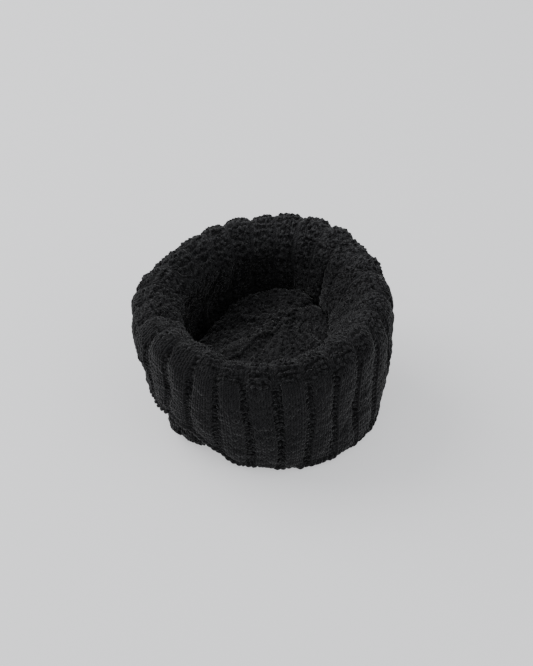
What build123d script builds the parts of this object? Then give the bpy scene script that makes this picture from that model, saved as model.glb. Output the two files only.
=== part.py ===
"""Chunky rib-knit beanie, lying crown down with its opening up and its edge turned up as a deep cuff.

Millimetres. +Z is up, Z = 0 is the surface that the hat lies on, and the Z axis runs through the middle of
the head opening. The fabric is one knitted tube, shown here as its zones: the cuff on the outside, the fold
at the rim, the body wall inside the cuff and the crown, which is pushed up inside the hat.
"""

from build123d import *
import math
import os

# Driving dimensions
rib_count = 26
rib_depth = 3.0
fabric = 7.0
total_height = 95.0
rim_radius = 75.5
fold_reach = 14.0
fold_drop = 18.0
cuff_edge_z = 4.2
cuff_edge_radius = 74.2
cuff_flare_z = 18.0
cuff_flare_radius = 80.6
cuff_belly_z = 42.0
cuff_belly_radius = 86.6
wall_foot_radius = 58.0
wall_waist_radius = 55.0
wall_waist_z = 50.0
foot_bend = 14.0
crown_start_radius = 46.0
crown_bend = 4.0
crown_shoulder_radius = 44.0
crown_shoulder_z = 45.0
crown_dome_radius = 30.0
crown_dome_z = 55.0
crown_top_z = 58.0
joint_gap = 0.3
edge_cord_radius = 1.7
edge_cord_gap = 0.1
seam_width = 2.4
seam_height = 2.2
seam_gap = 0.25
seam_angle = -130.0
gather_ring_radius = 5.0
gather_yarn_radius = 1.2
knot_radius = 2.6

# Sizes that follow from them
fold_z = total_height - fold_drop
fold_outer = rim_radius + fold_reach
fold_inner = rim_radius - fold_reach
wall_top_z = fold_z - joint_gap
wall_foot_outer = wall_foot_radius + fabric
foot_centre_radius = wall_foot_outer - foot_bend
inner_bend = foot_bend - fabric
crown_under_bend = crown_bend + fabric

os.makedirs("parts", exist_ok=True)


def save(part, name):
    """Labels a finished piece and writes it to its own file."""
    part.label = name
    export_step(part, f"parts/{name}.step")


def on_circle(radius, turn):
    """The point at this radius and share of a turn, counted from the front."""
    angle = math.tau * turn - math.pi / 2
    return (radius * math.cos(angle), radius * math.sin(angle))


def ribbed_outline(z, radius):
    """A closed outline at this height, with one rounded lobe for each rib."""
    with BuildSketch(Plane.XY.offset(z)) as outline:
        with BuildLine():
            for rib in range(rib_count):
                ThreePointArc(
                    on_circle(radius - rib_depth, (rib - 0.5) / rib_count),
                    on_circle(radius, rib / rib_count),
                    on_circle(radius - rib_depth, (rib + 0.5) / rib_count),
                )
        make_face()
    return outline.sketch


# Outer radius of the cuff at a few heights, from its free edge up to the fold
cuff_outline = [
    (cuff_edge_radius, cuff_edge_z),
    (cuff_flare_radius, cuff_flare_z),
    (cuff_belly_radius, cuff_belly_z),
    (fold_outer, fold_z),
]
cuff_lining = [(radius - fabric, z) for radius, z in cuff_outline]

# Side of the body wall that faces the crown: up from its foot, in at the waist and out to the fold
wall_side = [
    (wall_foot_radius, foot_bend),
    (wall_waist_radius, wall_waist_z),
    (fold_inner, wall_top_z),
]
upright = [(0, 1), (0, 1)]

# Side of the crown that faces into the hat: up from its foot, over the shoulder and in to the centre
crown_side_radius = crown_start_radius - crown_bend
crown_side_z = fabric + crown_bend
crown_side = (crown_shoulder_radius - crown_side_radius, crown_shoulder_z - crown_side_z)
crown_dome = [
    (crown_shoulder_radius, crown_shoulder_z),
    (crown_dome_radius, crown_dome_z),
    (0, crown_top_z),
]
crown_dome_ends = [crown_side, (-1, 0)]
crown_dome_under = [
    (crown_shoulder_radius - fabric, crown_shoulder_z - fabric / 3),
    (crown_dome_radius - fabric / 2, crown_dome_z - fabric),
    (0, crown_top_z - fabric),
]


def shifted(points, along_radius=0.0, along_z=0.0):
    """The same profile points, moved along the radius or up."""
    return [(radius + along_radius, z + along_z) for radius, z in points]


# Cuff: the turned-up outer layer, ribbed outside and smooth inside
with BuildPart() as cuff:
    for cuff_radius, cuff_z in cuff_outline:
        add(ribbed_outline(cuff_z, cuff_radius))
    loft()
    with BuildSketch(Plane.XZ):
        with BuildLine():
            Spline(*cuff_lining)
            Polyline(cuff_lining[-1], (0, fold_z), (0, cuff_edge_z), cuff_lining[0])
        make_face()
    revolve(axis=Axis.Z, mode=Mode.SUBTRACT)
save(cuff.part, "cuff")

# Cast-on edge: the rounded cord of chain stitches along the free edge of the cuff
with BuildPart() as cast_on_edge:
    with BuildSketch(Plane.XZ):
        with Locations((cuff_edge_radius - fabric / 2, cuff_edge_z - edge_cord_radius - edge_cord_gap)):
            Circle(edge_cord_radius)
    revolve(axis=Axis.Z)
save(cast_on_edge.part, "cast_on_edge")

# Fold: the fat rounded rim where the fabric turns from the body wall out into the cuff
with BuildPart() as fold_roll:
    with BuildSketch(Plane.XZ):
        with Locations((rim_radius, fold_z)):
            Ellipse(fold_reach, fold_drop)
            Ellipse(fold_reach - fabric, fold_drop - fabric, mode=Mode.SUBTRACT)
            Rectangle(4 * fold_reach, 2 * fold_drop, align=(Align.CENTER, Align.MAX), mode=Mode.SUBTRACT)
    revolve(axis=Axis.Z)
save(fold_roll.part, "fold_roll")

# Body wall: the layer inside the cuff, with the rounded foot that the hat rests on
with BuildPart() as body_wall:
    with BuildSketch(Plane.XZ):
        with BuildLine():
            wall_back = shifted(wall_side, along_radius=fabric)
            Spline(*wall_side, tangents=upright)
            Line(wall_side[-1], wall_back[-1])
            Spline(*wall_back, tangents=upright)
            RadiusArc((wall_foot_outer, foot_bend), (foot_centre_radius, 0), foot_bend)
            Polyline(
                (foot_centre_radius, 0),
                (crown_start_radius, 0),
                (crown_start_radius, fabric),
                (foot_centre_radius, fabric),
            )
            RadiusArc((foot_centre_radius, fabric), (wall_foot_radius, foot_bend), -inner_bend)
        make_face()
    revolve(axis=Axis.Z)
save(body_wall.part, "body_wall")

# Crown: the closed end, pushed up into the hat as a soft drum with a domed top
with BuildPart() as crown:
    with BuildSketch(Plane.XZ):
        with BuildLine():
            RadiusArc((crown_start_radius, fabric), (crown_side_radius, crown_side_z), crown_bend)
            Line((crown_side_radius, crown_side_z), crown_dome[0])
            Spline(*crown_dome, tangents=crown_dome_ends)
            Line(crown_dome[-1], crown_dome_under[-1])
            Spline(*crown_dome_under, tangents=crown_dome_ends)
            Line(crown_dome_under[0], (crown_side_radius - fabric, crown_side_z))
            RadiusArc((crown_side_radius - fabric, crown_side_z), (crown_start_radius, 0), -crown_under_bend)
            Line((crown_start_radius, 0), (crown_start_radius, fabric))
        make_face()
    revolve(axis=Axis.Z)
save(crown.part, "crown")

# Gathering yarn: the ring of yarn that draws the last stitches of the crown together
with BuildPart() as crown_gather_yarn:
    with BuildSketch(Plane.XZ):
        with Locations((gather_ring_radius, crown_top_z + gather_yarn_radius + seam_gap)):
            Circle(gather_yarn_radius)
    revolve(axis=Axis.Z)
save(crown_gather_yarn.part, "crown_gather_yarn")

# Closing knot: the small knot that fastens the gathering yarn
with BuildPart() as crown_closing_knot:
    with Locations((0, 0, crown_top_z + knot_radius + seam_gap)):
        Sphere(knot_radius)
save(crown_closing_knot.part, "crown_closing_knot")

# Seams: raised lines of sewing yarn on the wrong side of the fabric, all in one upright plane
seam_plane = Plane.XZ.rotated((0, 0, seam_angle))


def seam_strip(side, **spline):
    """The outline of a raised seam that follows this side of the fabric, a little way off it."""
    near = shifted(side, along_radius=-seam_gap)
    far = shifted(near, along_radius=-seam_height)
    Spline(*near, **spline)
    Spline(*far, **spline)
    Line(near[0], far[0])
    Line(near[-1], far[-1])


def crown_line(away):
    """The crown's side and dome, moved off its surface by this much."""
    foot, *dome = shifted([(crown_side_radius, crown_side_z)] + crown_dome, away, away)
    Line(foot, dome[0])
    Spline(*dome, tangents=crown_dome_ends)
    return foot, dome[-1]


with BuildPart() as body_seam:
    with BuildSketch(seam_plane):
        with BuildLine():
            seam_strip(wall_side, tangents=upright)
        make_face()
    extrude(amount=seam_width / 2, both=True)
save(body_seam.part, "body_seam")

with BuildPart() as cuff_seam:
    with BuildSketch(seam_plane):
        with BuildLine():
            seam_strip(cuff_lining)
        make_face()
    extrude(amount=seam_width / 2, both=True)
save(cuff_seam.part, "cuff_seam")

with BuildPart() as crown_seam:
    with BuildSketch(seam_plane):
        with BuildLine():
            seam_foot, seam_end = crown_line(seam_gap)
            raised_foot, raised_end = crown_line(seam_gap + seam_height)
            Line(seam_foot, raised_foot)
            Line(seam_end, raised_end)
        make_face()
    extrude(amount=seam_width / 2, both=True)
    Cylinder(gather_ring_radius + 2 * gather_yarn_radius, 3 * crown_top_z, mode=Mode.SUBTRACT)
save(crown_seam.part, "crown_seam")
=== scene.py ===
"""A chunky rib-knit beanie, stitch by stitch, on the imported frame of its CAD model.

The hat is one knitted tube. Its middle surface is a profile in (radius, height) that runs from the cuff's
free edge up the cuff, over the rim, down the body wall, under the foot and up to the middle of the crown.
Every row of stitches is one closed strand of yarn laid on that surface.
"""

import math

import bpy
import numpy as np
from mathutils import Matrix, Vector


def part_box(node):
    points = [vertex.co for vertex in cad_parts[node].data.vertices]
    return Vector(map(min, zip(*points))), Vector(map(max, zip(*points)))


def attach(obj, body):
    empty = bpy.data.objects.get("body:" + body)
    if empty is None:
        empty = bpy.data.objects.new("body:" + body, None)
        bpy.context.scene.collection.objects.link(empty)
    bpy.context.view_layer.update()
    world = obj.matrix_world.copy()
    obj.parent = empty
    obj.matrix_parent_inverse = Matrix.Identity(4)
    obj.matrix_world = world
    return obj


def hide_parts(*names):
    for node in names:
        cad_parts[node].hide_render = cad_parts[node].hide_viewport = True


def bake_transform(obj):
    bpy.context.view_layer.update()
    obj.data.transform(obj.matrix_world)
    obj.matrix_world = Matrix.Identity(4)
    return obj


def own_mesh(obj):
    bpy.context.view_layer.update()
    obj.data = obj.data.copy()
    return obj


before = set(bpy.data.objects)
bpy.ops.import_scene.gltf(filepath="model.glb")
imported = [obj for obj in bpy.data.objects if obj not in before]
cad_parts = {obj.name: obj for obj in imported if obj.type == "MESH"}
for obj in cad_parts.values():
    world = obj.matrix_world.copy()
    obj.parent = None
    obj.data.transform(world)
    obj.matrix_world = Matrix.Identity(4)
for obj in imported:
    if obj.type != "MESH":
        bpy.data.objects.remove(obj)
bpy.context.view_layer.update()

MM = 0.001
HAT, CUFF = "hat", "turned_up_cuff"
rng = np.random.default_rng(7)

# ---------------------------------------------------------------- sizes read from the frame
fold_low, fold_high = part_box("fold_roll")
cuff_low, cuff_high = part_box("cuff")
edge_low, edge_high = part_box("cast_on_edge")
wall_low, wall_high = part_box("body_wall")
crown_low, crown_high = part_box("crown")

FABRIC = 7 * MM                      # thickness of the ribbed fabric
FOLD_WIDTH = 28 * MM                 # thickness of the rolled rim, outside to outside
EDGE_CORD = 1.7 * MM                 # radius of the cord along the cuff's edge, in the CAD model
FOOT_CLEARANCE = 1.1 * MM            # keeps the bumps of the yarn above the floor
HALF = FABRIC / 2
fold_out = fold_high[0] - HALF
fold_in = fold_high[0] - FOLD_WIDTH + HALF
fold_mid = (fold_out + fold_in) / 2
fold_z = fold_low[2]
rim_z = fold_high[2] - HALF
edge_radius = edge_high[0] - EDGE_CORD
foot_z = wall_low[2] + HALF + FOOT_CLEARANCE
wall_radius = wall_high[0] - HALF
crown_radius = crown_high[0]
crown_z = crown_high[2] - HALF

# ---------------------------------------------------------------- the knitting
RIBS = 26
ROW = 4.2 * MM                       # height of one row
YARN = 1.08 * MM                     # radius of the yarn
SEWING_YARN = 0.8 * MM               # radius of the thinner yarn of the seams and the gathering
CUFF_WIDE = 0.66                     # part of a rib taken up by its wide, smooth column, on the cuff
RIM_WIDE = 0.82                      # and over the rim and inside, where the narrow one draws in
WIDE_STITCHES, NARROW_STITCHES = 4, 2
# On the crown: wide and narrow stitches of a rib, and down to which radius in mm
CROWN_STITCHES = ((4, 1, 36), (3, 1, 28), (2, 1, 20), (1, 1, 12))
STEPS = 12                           # points along one stitch
SIDES = 6                            # sides of the yarn's section
LOOP_LEAN = 0.21                     # how far a loop's legs lean out, as a share of its width
LOOP_HEIGHT = 0.84 * ROW
KNIT_DEPTH = 0.55 * YARN             # how far the yarn goes in and out in a smooth stitch
PURL_DEPTH = 1.15 * YARN             # and in a bumpy one
PROUD = 0.38 * MM                    # how unevenly the stitches stand up
CAST_ON_YARN = 1.4 * MM              # radius of each ply of the cast-on cord

# ---------------------------------------------------------------- profile of the middle surface
PROFILE = [
    (edge_radius, edge_high[2] + 1 * MM),
    (edge_radius + 6.3 * MM, edge_high[2] + 15 * MM),
    (fold_out - 3 * MM, 0.55 * fold_z),
    (fold_out - 0.3 * MM, 0.82 * fold_z),
    (fold_out, fold_z),
    (fold_out - 3.4 * MM, fold_z + 0.7 * (rim_z - fold_z)),
    (fold_mid, rim_z),
    (fold_in + 2.5 * MM, fold_z + 0.8 * (rim_z - fold_z)),
    (fold_in - 4.5 * MM, fold_z + 3 * MM),
    (fold_in - 11 * MM, 0.89 * fold_z),
    (wall_radius - 12.5 * MM, crown_z + 7 * MM),
    (wall_radius - 13 * MM, crown_z - 3 * MM),
    (wall_radius - 11 * MM, 25 * MM),
    (wall_radius - 14 * MM, foot_z),
    (crown_radius - 3 * MM, 14 * MM),
    (crown_radius, crown_z - 8 * MM),
    (crown_radius + 1 * MM, crown_z),
    (crown_radius - 4 * MM, crown_z + 4 * MM),
    (0.47 * crown_radius, crown_z + 3 * MM),
    (0.0, crown_z + 2 * MM),
]
FOLD_FROM, RIM, FOLD_TO, FOOT, CROWN_FROM, DRIFT_FROM, MIDDLE = 4, 6, 8, 13, 14, 16, 19

# Where the hat slumps: angle from the front and spread in degrees, then for some of the profile's points
# how far they move outwards and up, in millimetres
LEFT_POCKET = (-116, 62, {7: (-2, -1), 8: (-5, -3), 9: (7, -5), 10: (15, -12), 11: (16, -12), 12: (13, 0),
                          13: (6, 0), 14: (1, 0), 15: (4, -26), 16: (3, -29), 17: (-1, -21), 18: (-3, -11)})
LEFT_BULGE = (-48, 25, {10: (1, 0), 11: (3, 0), 12: (13, -4), 13: (16, 0)})
RIGHT_LIP = (84, 66, {8: (-1, 0), 9: (-3, 0), 10: (-5, 1), 11: (2, 0), 15: (-1, 3), 16: (-1, 1),
                      17: (-1, 0.5)})
BACK_ROOM = (165, 45, {9: (2, 0), 10: (3, 0), 11: (3, 0), 12: (2, 0), 15: (2, 2), 16: (2.5, 2),
                       17: (2, 1.5)})
BACK_POCKET = (-170, 38, {8: (0, 1), 9: (5, -2), 10: (7, -5), 11: (7, -3), 12: (5, 0), 15: (4, 2),
                          16: (4, 3), 17: (4, 2)})
RIGHT_CREASE = (130, 8, {8: (1.5, 0), 9: (4, 0), 10: (3, 0), 16: (-1, 0), 17: (-1, -1)})
RIGHT_BELLY = (71, 45, {0: (10, 0), 1: (6.5, 0), 2: (2, 0)})
BACK_RISE = (162, 55, {3: (2, 0), 4: (3, 0), 5: (3, 7.5), 6: (2, 9.5), 7: (1, 8), 8: (0, 4)})
RIGHT_RISE = (126, 26, {4: (2, 0), 5: (2.5, 1), 6: (1, 0.5)})
FRONT_FLARE = (22, 26, {0: (5, 0), 1: (2.5, 0)})
LEFT_TUCK = (-84, 20, {1: (-5, 0), 2: (-4, 0), 3: (-1, 0)})
LEFT_DIP = (-104, 38, {3: (2, 0), 4: (1, 0), 5: (-1, -5), 6: (0, -5), 7: (0, -4), 8: (0, -2)})
FRONT_DIP = (-6, 55, {0: (3, 0), 1: (3, 0), 2: (2.5, -2), 3: (1.5, -3), 4: (0, 0), 5: (0, -6.5), 6: (0, -7),
                      7: (0, -6), 8: (0, -3)})
SLUMPS = [LEFT_POCKET, LEFT_BULGE, LEFT_TUCK, RIGHT_LIP, BACK_ROOM, BACK_POCKET, RIGHT_CREASE, RIGHT_BELLY,
          BACK_RISE, RIGHT_RISE, FRONT_FLARE, LEFT_DIP, FRONT_DIP]
CROWN_DRIFT = (17 * MM, 22 * MM)     # the middle of the crown lies off the axis, to the right and back
DRIFT_POWER = 1.6
CUFF_LIFT = (-56, 32, 30)            # where the cuff's edge rides up: angle, spread, height in mm
TURN_LIFT = 0.37                     # how much of that shows as smooth stitches further over the rim
DEEP_GROOVES = {9: 2.5, 13: 2.4}     # creases inside, by the groove's number from the front to the right
SEAM_PHI = math.radians(-40)         # where the side seam runs
# Its bends on the crown: how far they reach to the right, at which radius and over what spread
CROWN_SEAM = [(6 * MM, 11 * MM, 7 * MM), (3.5 * MM, 33 * MM, 7 * MM)]


def around(phi, centre, spread, power=2):
    """A smooth hump that is 1 at the centre angle and falls off over the spread, both in degrees."""
    apart = (np.degrees(phi) - centre + 180) % 360 - 180
    return np.exp(-np.abs(apart / spread) ** power)


def cubic(knots, index, share):
    """Catmull-Rom through rows of knots, at share of the way from row index to the next."""
    last = len(knots) - 1
    columns = np.arange(knots.shape[1])
    p0, p1, p2, p3 = (knots[np.clip(index + k, 0, last), columns] for k in (-1, 0, 1, 2))
    t = share
    return 0.5 * (2 * p1 + (p2 - p0) * t + (2 * p0 - 5 * p1 + 4 * p2 - p3) * t ** 2
                  + (3 * p1 - p0 - 3 * p2 + p3) * t ** 3)


base = np.array(PROFILE)
fine = np.linspace(0, MIDDLE, 60 * MIDDLE + 1)
fine_index = np.minimum(fine.astype(int), MIDDLE - 1)
fine_curve = np.stack([
    cubic(np.repeat(base[:, axis:axis + 1], len(fine), axis=1), fine_index, fine - fine_index)
    for axis in (0, 1)
], axis=1)
fine_length = np.concatenate([[0], np.cumsum(np.linalg.norm(np.diff(fine_curve, axis=0), axis=1))])


def length_at(point):
    """Length of fabric from the cuff's edge to this profile point."""
    return float(np.interp(point, fine, fine_length))


FABRIC_LENGTH = length_at(MIDDLE)
TURN_ROW = length_at(FOLD_FROM + 0.55)   # where the stitches change from smooth to bumpy


def lift(phi):
    """How far the free edge of the cuff has ridden up at this angle."""
    centre, spread, height = CUFF_LIFT
    return around(phi, centre, spread, power=4) * height * MM


def waves(phi, s, terms):
    """A sum of gentle waves over the fabric: height, waves around, turns per metre of length, phase."""
    return sum(height * np.sin(count * phi + along * s + phase) for height, count, along, phase in terms)


SWAY = [(0.022, 2, 30, 1.0), (0.014, 5, -45, 2.3), (0.007, 9, 70, 0.4)]
ROW_SWAY = [(0.5, 6, 90, 0.7), (0.35, 17, -130, 2.9), (0.25, 31, 210, 5.0)]
LUMPS = [(0.7, 4, 40, 0.3), (0.6, 7, -75, 2.0), (0.4, 13, 110, 4.1), (0.3, 19, -150, 1.3)]


def base_point(phi, s):
    """A point of the smooth middle surface: phi is the angle from the front, s the length from the edge."""
    s = s + lift(phi) * np.clip(1 - s / length_at(FOLD_FROM), 0, 1)
    place = np.interp(s, fine_length, fine)
    index = np.clip(place.astype(int), 0, MIDDLE - 1)
    knots = np.repeat(base[:, :, None], len(phi), axis=2)
    for centre, spread, moves in SLUMPS:
        hump = around(phi, centre, spread)
        for point, (outwards, up) in moves.items():
            knots[point, 0] += outwards * MM * hump
            knots[point, 1] += up * MM * hump
    radius = cubic(knots[:, 0], index, place - index)
    height = cubic(knots[:, 1], index, place - index)
    phi = phi + waves(phi, s, SWAY)
    drift = np.clip((place - DRIFT_FROM) / (MIDDLE - DRIFT_FROM), 0, 1) ** DRIFT_POWER
    return np.stack([
        radius * np.sin(phi) + CROWN_DRIFT[0] * drift,
        -radius * np.cos(phi) + CROWN_DRIFT[1] * drift,
        height,
    ], axis=1)


def unit(v):
    return v / np.maximum(np.linalg.norm(v, axis=1, keepdims=True), 1e-12)


def normal_of(surface, phi, s):
    """Normal of a surface function on its shown side: out on the cuff, up on the rim, in on the wall."""
    turn, along = 0.004, 0.4 * MM
    across = surface(phi + turn, s) - surface(phi - turn, s)
    up = surface(phi, s + along) - surface(phi, s - along)
    return unit(np.cross(across, up))


rib_size = 1 + 0.16 * rng.standard_normal(RIBS)
groove_size = 0.35 + 1.5 * rng.random(RIBS) ** 2      # inside, a few of the grooves are much deeper
for gap, size in DEEP_GROOVES.items():
    groove_size[gap] = size
rib_phi = np.arange(RIBS) / RIBS * math.tau
turn_shift = 3 * MM * rng.standard_normal(RIBS) + TURN_LIFT * lift(rib_phi)

# How much the ribs stand up and how deep the grooves are, in mm, at places along the profile. Low on the
# wall both are negative, so that the ribs stand out on its other side, which shows when the cuff is raised.
RELIEF = [(0, 0.5, 0.8), (1, 1.1, 2.0), (2, 1.2, 2.3), (FOLD_FROM, 1.2, 2.2), (5.2, 0.8, 1.5),
          (RIM, 0.6, 1.0), (7, 0.4, 0.6), (FOLD_TO, 0.3, 0.5), (10, 0.3, 0.6), (11.4, -0.9, -1.1),
          (12.6, -0.9, -1.1), (FOOT, 0.1, 0.1), (CROWN_FROM, 0.3, 0.6), (16, 0.2, 0.4), (17.5, 0.1, 0.2),
          (MIDDLE, 0, 0)]
ROUNDNESS = 0.7                      # power of the ribs' section: below 1 their sides are steeper
relief_at = np.array([length_at(place) for place, _, _ in RELIEF])
relief_crest = np.array([crest for _, crest, _ in RELIEF])
relief_trough = np.array([trough for _, _, trough in RELIEF])


def wide_share(s):
    """Part of a rib taken up by its wide column."""
    return np.interp(s, [length_at(FOLD_FROM), length_at(RIM)], [CUFF_WIDE, RIM_WIDE])


def relief(phi, s):
    """Height of the ribs over the smooth surface."""
    place = phi / math.tau * RIBS
    rib = np.floor(place + 0.5).astype(int) % RIBS
    gap = np.floor(place).astype(int) % RIBS
    u = np.abs(place - np.floor(place + 0.5))
    half = wide_share(s) / 2
    lobe = np.cos(np.pi / 2 * np.clip(u / half, 0, 1)) ** ROUNDNESS
    groove = np.sin(np.pi / 2 * np.clip((u - half) / (0.5 - half), 0, 1)) ** ROUNDNESS
    inside = np.clip((s - length_at(RIM)) / (length_at(FOLD_TO) - length_at(RIM)), 0, 1)
    depth = 1 + (groove_size[gap] - 1) * inside
    crest = np.interp(s, relief_at, relief_crest) * rib_size[rib]
    trough = np.interp(s, relief_at, relief_trough) * depth
    return MM * (crest * lobe - trough * groove + waves(phi, s, LUMPS))


def fabric_point(phi, s):
    """A point of the middle surface with its ribs."""
    return base_point(phi, s) + relief(phi, s)[:, None] * normal_of(base_point, phi, s)


# ---------------------------------------------------------------- meshes
def new_piece(name, verts, faces, uv=None, bumpy=None):
    """A mesh object from arrays of points and four-sided faces."""
    mesh = bpy.data.meshes.new(name)
    mesh.vertices.add(len(verts))
    mesh.vertices.foreach_set("co", np.ascontiguousarray(verts, np.float32).ravel())
    mesh.loops.add(faces.size)
    mesh.loops.foreach_set("vertex_index", np.ascontiguousarray(faces, np.int32).ravel())
    mesh.polygons.add(len(faces))
    mesh.polygons.foreach_set("loop_start", np.arange(0, faces.size, 4, dtype=np.int32))
    if uv is not None:
        layer = mesh.uv_layers.new(name="Yarn")
        layer.data.foreach_set("uv", np.ascontiguousarray(uv, np.float32).ravel())
    if bumpy is not None:
        mesh.attributes.new("Bumpy", "FLOAT", "POINT").data.foreach_set("value", bumpy.astype(np.float32))
    mesh.update(calc_edges=True)
    mesh.validate()
    mesh.polygons.foreach_set("use_smooth", np.full(len(faces), True))
    piece = bpy.data.objects.new(name, mesh)
    bpy.context.scene.collection.objects.link(piece)
    return piece


def strands(centres, outwards, radius, closed=True):
    """Tubes of yarn round the strands whose points are centres; outwards says which way is up at each."""
    count, points, _ = centres.shape
    if closed:
        ahead = np.roll(centres, -1, axis=1) - np.roll(centres, 1, axis=1)
    else:
        ahead = np.gradient(centres, axis=1)
    ahead = unit(ahead.reshape(-1, 3))
    side = unit(np.cross(ahead, outwards.reshape(-1, 3)))
    top = np.cross(side, ahead)
    turn = np.arange(SIDES) / SIDES * math.tau
    ring = (np.cos(turn)[None, :, None] * side[:, None] + np.sin(turn)[None, :, None] * top[:, None])
    verts = (centres.reshape(-1, 1, 3) + radius * ring).reshape(-1, 3)
    spans = points if closed else points - 1
    strand, point, corner = np.meshgrid(np.arange(count), np.arange(spans), np.arange(SIDES), indexing="ij")

    def vertex(p, c):
        return (strand * points + p % points) * SIDES + c % SIDES

    faces = np.stack([vertex(point, corner), vertex(point, corner + 1),
                      vertex(point + 1, corner + 1), vertex(point + 1, corner)], axis=-1).reshape(-1, 4)
    step = np.linalg.norm(np.roll(centres, -1, axis=1) - centres, axis=2)[:, :spans]
    run = np.concatenate([np.zeros((count, 1)), np.cumsum(step, axis=1)], axis=1) / MM
    start, end = run[:, :-1, None], run[:, 1:, None]
    u = np.broadcast_to(np.stack([start, start, end, end], axis=-1), (count, spans, SIDES, 4))
    v = np.stack([corner, corner + 1, corner + 1, corner], axis=-1) / SIDES
    uv = np.stack([u, v], axis=-1).reshape(-1, 2)
    if not closed:                   # two four-sided faces close each end
        first = (np.arange(count) * points * SIDES)[:, None]
        last = first + (points - 1) * SIDES
        caps = np.concatenate([first + [5, 4, 1, 0], first + [4, 3, 2, 1],
                               last + [0, 1, 4, 5], last + [1, 2, 3, 4]])
        faces = np.concatenate([faces, caps])
        uv = np.concatenate([uv, np.zeros((4 * len(caps), 2))])
    return verts, faces, uv


def wales(s, wide, narrow):
    """One rib's stitches as (start, width, side): wide smooth ones, then narrow ones in the groove."""
    share = float(wide_share(s)) if narrow else 1.0
    return ([(-share / 2 + i * share / wide, share / wide, 1) for i in range(wide)]
            + [(share / 2 + i * (1 - share) / narrow, (1 - share) / narrow, -1) for i in range(narrow)])


def row_of_stitches(s, wide, narrow):
    """One row of yarn: its centre line, which way is out and how bumpy the stitch is at each point."""
    one = wales(s, wide, narrow)
    start = np.array([[rib + w[0] for w in one] for rib in range(RIBS)]).ravel()
    width = np.tile([w[1] for w in one], RIBS)
    turned = np.repeat(np.clip((TURN_ROW + turn_shift - s) / ROW, -1, 1), len(one))
    side = np.tile([float(w[2]) for w in one], RIBS) * turned
    count = len(side)
    t = np.arange(STEPS) / STEPS * math.tau
    before, after = np.roll(side, 1), np.roll(side, -1)
    soften = math.pi / 3
    lead = 0.5 * np.clip(1 - t / soften, 0, 1) ** 2
    trail = 0.5 * np.clip(1 - (math.tau - t) / soften, 0, 1) ** 2
    facing = side[:, None] * (1 - lead - trail) + before[:, None] * lead + after[:, None] * trail

    def uneven(amount):
        return 1 + amount * rng.standard_normal(count)[:, None]

    bumpy = np.clip(0.5 - side / 2, 0, 1)[:, None]
    depth = (KNIT_DEPTH + (PURL_DEPTH - KNIT_DEPTH) * bumpy) * uneven(0.15)
    tall = LOOP_HEIGHT * (1 + 0.14 * bumpy)
    x = start[:, None] + width[:, None] * (t / math.tau + LOOP_LEAN * uneven(0.15) * np.sin(2 * t))
    y = -tall * (uneven(0.10) * np.cos(t) + 0.07 * rng.standard_normal(count)[:, None])
    z = -facing * depth * np.cos(2 * t)
    proud = PROUD * rng.standard_normal(count)
    z = z + proud[:, None] + (np.roll(proud, -1) - proud)[:, None] * t / math.tau
    phi = (x / RIBS * math.tau).ravel()
    along = np.clip(s + y.ravel() + waves(phi, s, ROW_SWAY) * MM, -2 * MM, FABRIC_LENGTH - 1 * MM)
    out = normal_of(fabric_point, phi, along)
    centre = fabric_point(phi, along) + z.ravel()[:, None] * out
    return centre, out, np.repeat(bumpy, STEPS)


def stitches_per_rib(s):
    """How many wide and narrow stitches a rib has at this row: the crown loses some as it closes."""
    radius = float(np.interp(s, fine_length, fine_curve[:, 0]))
    if s < length_at(CROWN_FROM + 1.5):
        return WIDE_STITCHES, NARROW_STITCHES
    for wide, narrow, least in CROWN_STITCHES:
        if radius >= least * MM:
            return wide, narrow
    return 1, 0


rows = np.arange(0.5 * ROW, FABRIC_LENGTH - 3 * MM, ROW)


def stitch_piece(name, first, last):
    """All the rows between two lengths of fabric, as one mesh."""
    verts, faces, uvs, bumps, count = [], [], [], [], 0
    for s in rows[(rows >= first) & (rows < last)]:
        centre, out, bumpy = row_of_stitches(s, *stitches_per_rib(s))
        v, f, uv = strands(centre[None], out[None], YARN)
        verts.append(v)
        faces.append(f + count)
        uvs.append(uv)
        bumps.append(np.repeat(bumpy, SIDES))
        count += len(v)
    return new_piece(name, *map(np.concatenate, (verts, faces, uvs, bumps)))


def backing_piece(name, first, last):
    """A thin closed sheet in the middle of the fabric, so that no light shows between the stitches."""
    across, half_thick = RIBS * 16, 0.5 * MM
    length = np.linspace(first, last, max(3, int((last - first) / (2 * MM))))
    phi = np.arange(across) / across * math.tau
    grid_phi, grid_s = (g.ravel() for g in np.meshgrid(phi, length))
    middle = fabric_point(grid_phi, grid_s)
    out = normal_of(fabric_point, grid_phi, grid_s)
    n = len(length)
    verts = np.concatenate([middle + half_thick * out, middle - half_thick * out])
    row, column = np.meshgrid(np.arange(n - 1), np.arange(across), indexing="ij")
    right = (column + 1) % across
    front = np.stack([row * across + column, row * across + right,
                      (row + 1) * across + right, (row + 1) * across + column], axis=-1).reshape(-1, 4)
    back = front[:, ::-1] + n * across
    column, right = np.arange(across), (np.arange(across) + 1) % across
    top, bottom = (n - 1) * across, n * across
    low = np.stack([column + bottom, right + bottom, right, column], axis=-1)
    high = np.stack([column + top, right + top, right + top + bottom, column + top + bottom], axis=-1)
    return new_piece(name, verts, np.concatenate([front, back, low, high]))


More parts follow.
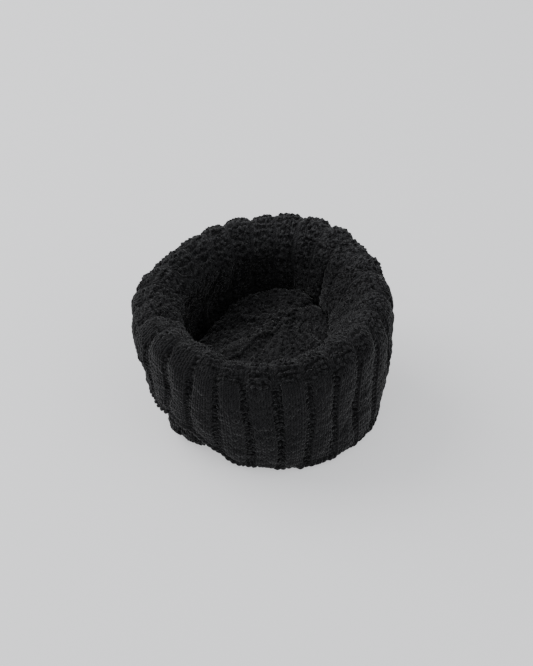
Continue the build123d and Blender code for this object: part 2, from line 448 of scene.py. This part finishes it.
def twisted_cord(phi, s, closed, lift_off, pitch, radius):
    """Two plies twisted round each other along a line, lifted off the fabric towards its shown side."""
    out = normal_of(fabric_point, phi, s)
    line = fabric_point(phi, s) + lift_off * out
    if closed:
        ahead = unit(np.roll(line, -1, axis=0) - np.roll(line, 1, axis=0))
    else:
        ahead = unit(np.gradient(line, axis=0))
    side = unit(np.cross(ahead, out))
    run = np.concatenate([[0], np.cumsum(np.linalg.norm(np.diff(line, axis=0), axis=1))])
    turns = run / pitch
    if closed:
        turns = turns * round(turns[-1]) / turns[-1] * (len(turns) - 1) / len(turns)
    plies = []
    for ply in (0, 0.5):
        angle = math.tau * (turns + ply)
        plies.append(line + radius * (np.cos(angle)[:, None] * side + np.sin(angle)[:, None] * out))
    return strands(np.array(plies), np.array([out, out]), radius * 1.12, closed)


def cord_piece(name, phi, s, closed=False, lift_off=2.7 * MM, pitch=7 * MM, radius=SEWING_YARN):
    return new_piece(name, *twisted_cord(phi, s, closed, lift_off, pitch, radius))


def cast_on_piece():
    """The corded edge that the first row hangs from."""
    phi = np.arange(RIBS * 90) / (RIBS * 90) * math.tau
    below = np.full(len(phi), -0.6 * MM)
    return cord_piece("cast_on_cord", phi, below, closed=True, lift_off=0, pitch=8 * MM, radius=CAST_ON_YARN)


def seam_line(first, last, sway=()):
    """Points of the side seam between two lengths of fabric. On the crown it sways to the right."""
    s = np.linspace(first, last, int((last - first) / (0.4 * MM)))
    radius = np.maximum(np.interp(s, fine_length, fine_curve[:, 0]), 5 * MM)
    aside = sum(reach * np.exp(-((radius - middle) / spread) ** 2) for reach, middle, spread in sway)
    return SEAM_PHI + aside / radius, s


def crown_gather_piece():
    """The gathering yarn, in and out of the last stitches round the crown's middle."""
    phi = np.arange(400) / 400 * math.tau
    s = FABRIC_LENGTH - 6.5 * MM + 1.6 * MM * np.sin(9 * phi)
    out = normal_of(fabric_point, phi, s)
    line = fabric_point(phi, s) + (2.3 * MM + 0.9 * MM * np.cos(9 * phi))[:, None] * out
    return new_piece("crown_gathering", *strands(line[None], out[None], SEWING_YARN))


def crown_knot_piece():
    """A small overhand knot that fastens the gathering yarn, in the middle of the crown."""
    t = np.arange(120) / 120 * math.tau
    middle = fabric_point(np.zeros(1), np.array([FABRIC_LENGTH - 0.5 * MM]))[0]
    loops = [np.sin(t) + 2 * np.sin(2 * t), np.cos(t) - 2 * np.cos(2 * t), -1.3 * np.sin(3 * t)]
    knot = np.stack(loops, axis=1)
    line = middle + np.array([0, 0, 3.4 * MM]) + SEWING_YARN * 1.15 * knot
    out = np.tile([0.3, 0.2, 1.0], (1, len(t), 1))
    return new_piece("crown_knot", *strands(line[None], out, SEWING_YARN))


# ---------------------------------------------------------------- materials
def node(tree, kind, fixed=None, linked=None, **settings):
    """A shader node with its settings, its fixed inputs and its linked ones."""
    made = tree.nodes.new(kind)
    for key, value in settings.items():
        setattr(made, key, value)
    for key, value in (fixed or {}).items():
        made.inputs[key].default_value = value
    for key, output in (linked or {}).items():
        tree.links.new(output, made.inputs[key])
    return made


def new_material(name, **fixed):
    """A material with these values on its shader's own sockets, whose names have _ for each space."""
    material = bpy.data.materials.new(name)
    material.use_nodes = True
    for key, value in fixed.items():
        material.node_tree.nodes["Principled BSDF"].inputs[key.replace("_", " ")].default_value = value
    return material


def speckle(tree, place):
    """A fine mottle around one half, strongest on the bumpy stitches."""
    mottle = node(tree, "ShaderNodeTexNoise", {"Scale": 400, "Detail": 2}, {"Vector": place})
    bumpy = node(tree, "ShaderNodeAttribute", attribute_name="Bumpy").outputs["Fac"]
    contrast = node(tree, "ShaderNodeMapRange", {"To Min": 0.2, "To Max": 1.5}, {"Value": bumpy})
    centred = node(tree, "ShaderNodeMath", {1: 0.5}, {0: mottle.outputs["Fac"]}, operation="SUBTRACT")
    spread = {0: centred.outputs[0], 1: contrast.outputs[0]}
    return node(tree, "ShaderNodeMath", {2: 0.5}, spread, operation="MULTIPLY_ADD").outputs[0]


def plies(tree):
    """Waves between 0 and one half over the plies that wind round the yarn, low between two plies."""
    strand = node(tree, "ShaderNodeUVMap", uv_map="Yarn")
    split = node(tree, "ShaderNodeSeparateXYZ", linked={0: strand.outputs["UV"]})
    turn = node(tree, "ShaderNodeMath", {1: 3}, {0: split.outputs["Y"]}, operation="MULTIPLY")
    wound = {0: split.outputs["X"], 2: turn.outputs[0]}
    ply = node(tree, "ShaderNodeMath", {1: 0.62}, wound, operation="MULTIPLY_ADD")
    return node(tree, "ShaderNodeMath", {1: 0.5}, {0: ply.outputs[0]}, operation="PINGPONG").outputs[0]


def painted_fold_highlight(tree, place):
    """Painted highlight: how many times lighter the wool is painted, 1 below the fold, up to 2 on top of it.

    With these lamps, as with two other ways of lighting, the back of the rim came out at about 23 of 255
    where the photo shows 32. Lighter wool makes up for part of that; the real wool isn't known to be lighter.
    """
    height = node(tree, "ShaderNodeSeparateXYZ", linked={0: place}).outputs["Z"]
    ends = {"From Min": rim_z - 7 * MM, "From Max": rim_z + 11 * MM, "To Min": 1.0, "To Max": 2.0}
    tone = node(tree, "ShaderNodeMapRange", ends, {"Value": height}, interpolation_type="SMOOTHSTEP")
    return tone.outputs[0]


def wool(name, dark, light):
    """Matte twisted wool, speckled, with painted shade between its plies and a painted highlight on the fold.
    """
    material = new_material(name, Sheen_Weight=0.17, Sheen_Roughness=0.35, Specular_IOR_Level=0.12)
    tree = material.node_tree
    shader = tree.nodes["Principled BSDF"]
    place = node(tree, "ShaderNodeTexCoord").outputs["Object"]
    wave = plies(tree)
    fibre = node(tree, "ShaderNodeTexNoise", {"Scale": 2600, "Detail": 3}, {"Vector": place}).outputs["Fac"]

    # The ply wave darkens the colour between the plies: painted shade. The speckle is the wool's own random
    # mottle.
    mixed = {0: wave, 2: speckle(tree, place)}
    tone = node(tree, "ShaderNodeMath", {1: 0.5}, mixed, operation="MULTIPLY_ADD")
    colour = node(tree, "ShaderNodeValToRGB", linked={"Fac": tone.outputs[0]})
    for stop, position, shade in zip(colour.color_ramp.elements, (0.48, 0.82), (dark, light)):
        stop.position = position
        stop.color = (*shade, 1)
    # Painted highlight: the colour is scaled up to twice as light towards the top of the fold.
    painted_highlight_inputs = {0: colour.outputs["Color"], "Scale": painted_fold_highlight(tree, place)}
    lighter = node(tree, "ShaderNodeVectorMath", linked=painted_highlight_inputs, operation="SCALE")
    tree.links.new(lighter.outputs[0], shader.inputs["Base Color"])

    rough = node(tree, "ShaderNodeMapRange", {"To Min": 0.82, "To Max": 0.98}, {"Value": fibre})
    tree.links.new(rough.outputs[0], shader.inputs["Roughness"])

    height = node(tree, "ShaderNodeMath", {1: 0.6}, {0: fibre, 2: wave}, operation="MULTIPLY_ADD").outputs[0]
    bump = node(tree, "ShaderNodeBump", {"Strength": 0.5, "Distance": 0.35 * MM}, {"Height": height})
    tree.links.new(bump.outputs["Normal"], shader.inputs["Normal"])
    return material


charcoal = wool("charcoal wool", (0.0020, 0.0020, 0.0022), (0.020, 0.020, 0.0208))
# The backing stands in for the yarn inside the fabric; its wool is painted darker than the yarn's: painted
# shade.
shaded_backing_wool = wool("charcoal wool, inside the fabric", (0.003, 0.003, 0.0032), (0.010, 0.010, 0.0105))


def dress(piece, material):
    """Gives a piece its material."""
    piece.data.materials.clear()
    piece.data.materials.append(material)
    return piece


# ---------------------------------------------------------------- the hat, zone by zone
cuff_end, fold_end, wall_end = length_at(FOLD_FROM), length_at(FOLD_TO), length_at(FOOT)
zones = {
    "cuff": (0, cuff_end),
    "fold_roll": (cuff_end, fold_end),
    "body_wall": (fold_end, wall_end),
    "crown": (wall_end, FABRIC_LENGTH),
}


def settle(piece, zone):
    """Moves a piece the way its zone of the fabric moves."""
    if zone == "cuff":
        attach(piece, CUFF)
        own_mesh(piece)
    elif zone == "fold_roll":
        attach(piece, CUFF)
    elif zone == "body_wall":
        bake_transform(piece)
    else:
        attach(piece, HAT)


for zone, (first, last) in zones.items():
    yarn = dress(stitch_piece(f"{zone}_stitches", first, last), charcoal)
    backing_ends = max(first, 1 * MM), min(last, FABRIC_LENGTH - 4 * MM)
    backing = dress(backing_piece(f"{zone}_backing", *backing_ends), shaded_backing_wool)
    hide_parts(zone)
    settle(yarn, zone)
    settle(backing, zone)

cuff_seam_line = seam_line(2 * MM, cuff_end)
body_seam_line = seam_line(fold_end, length_at(FOOT - 0.3))
crown_seam_line = seam_line(length_at(CROWN_FROM + 1), FABRIC_LENGTH - 7 * MM, CROWN_SEAM)
details = {
    "cast_on_edge": (cast_on_piece(), "cuff"),
    "cuff_seam": (cord_piece("cuff_seam_cord", *cuff_seam_line, lift_off=-2.6 * MM), "cuff"),
    "body_seam": (cord_piece("body_seam_cord", *body_seam_line), "body_wall"),
    "crown_seam": (cord_piece("crown_seam_cord", *crown_seam_line), "crown"),
    "crown_gather_yarn": (crown_gather_piece(), "crown"),
    "crown_closing_knot": (crown_knot_piece(), "crown"),
}
for replaced, (piece, zone) in details.items():
    dress(piece, charcoal)
    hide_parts(replaced)
    settle(piece, zone)

# ---------------------------------------------------------------- floor, light and camera
FLOOR_REACH = 3.0
floor_mesh = bpy.data.meshes.new("floor")
corners = [(FLOOR_REACH * x, FLOOR_REACH * y, 0) for x, y in ((-1, -1), (1, -1), (1, 1), (-1, 1))]
floor_mesh.from_pydata(corners, [], [(0, 1, 2, 3)])
floor = bpy.data.objects.new("floor", floor_mesh)
bpy.context.scene.collection.objects.link(floor)
paper = new_material("pale grey paper", Base_Color=(0.50, 0.50, 0.506, 1), Roughness=0.95,
                     Specular_IOR_Level=0.1, Emission_Color=(0.98, 0.98, 1, 1), Emission_Strength=0.62)
floor_mesh.materials.append(paper)


def area_light(name, position, target, size, watts):
    """A square white light that shines at the target."""
    data = bpy.data.lights.new(name, "AREA")
    data.shape = "SQUARE"
    data.size = size
    data.energy = watts
    lamp = bpy.data.objects.new(name, data)
    lamp.location = position
    lamp.rotation_euler = (Vector(target) - Vector(position)).to_track_quat("-Z", "Y").to_euler()
    bpy.context.scene.collection.objects.link(lamp)


area_light("key", (-1.25, 0.55, 1.25), (0, 0, 0.05), 1.5, 34)
area_light("fill", (1.2, -1.0, 1.6), (0, 0, 0.05), 1.8, 9)
world = bpy.data.worlds.new("studio")
world.use_nodes = True
world.node_tree.nodes["Background"].inputs["Color"].default_value = (0.9, 0.92, 0.95, 1)
world.node_tree.nodes["Background"].inputs["Strength"].default_value = 0.78
bpy.context.scene.world = world

elevation = math.radians(37.5)
distance = 1.5
frame_width = 0.366                  # what the camera takes in across, at the hat
sensor = 36
aim = Vector((3 * MM, 0, 58 * MM))
camera_data = bpy.data.cameras.new("camera")
camera_data.sensor_fit = "HORIZONTAL"
camera_data.sensor_width = sensor
camera_data.lens = sensor * distance / frame_width
camera_data.clip_end = 20
camera = bpy.data.objects.new("camera", camera_data)
camera.location = aim + distance * Vector((0, -math.cos(elevation), math.sin(elevation)))
camera.rotation_euler = (aim - camera.location).to_track_quat("-Z", "Y").to_euler()
bpy.context.scene.collection.objects.link(camera)
bpy.context.scene.camera = camera
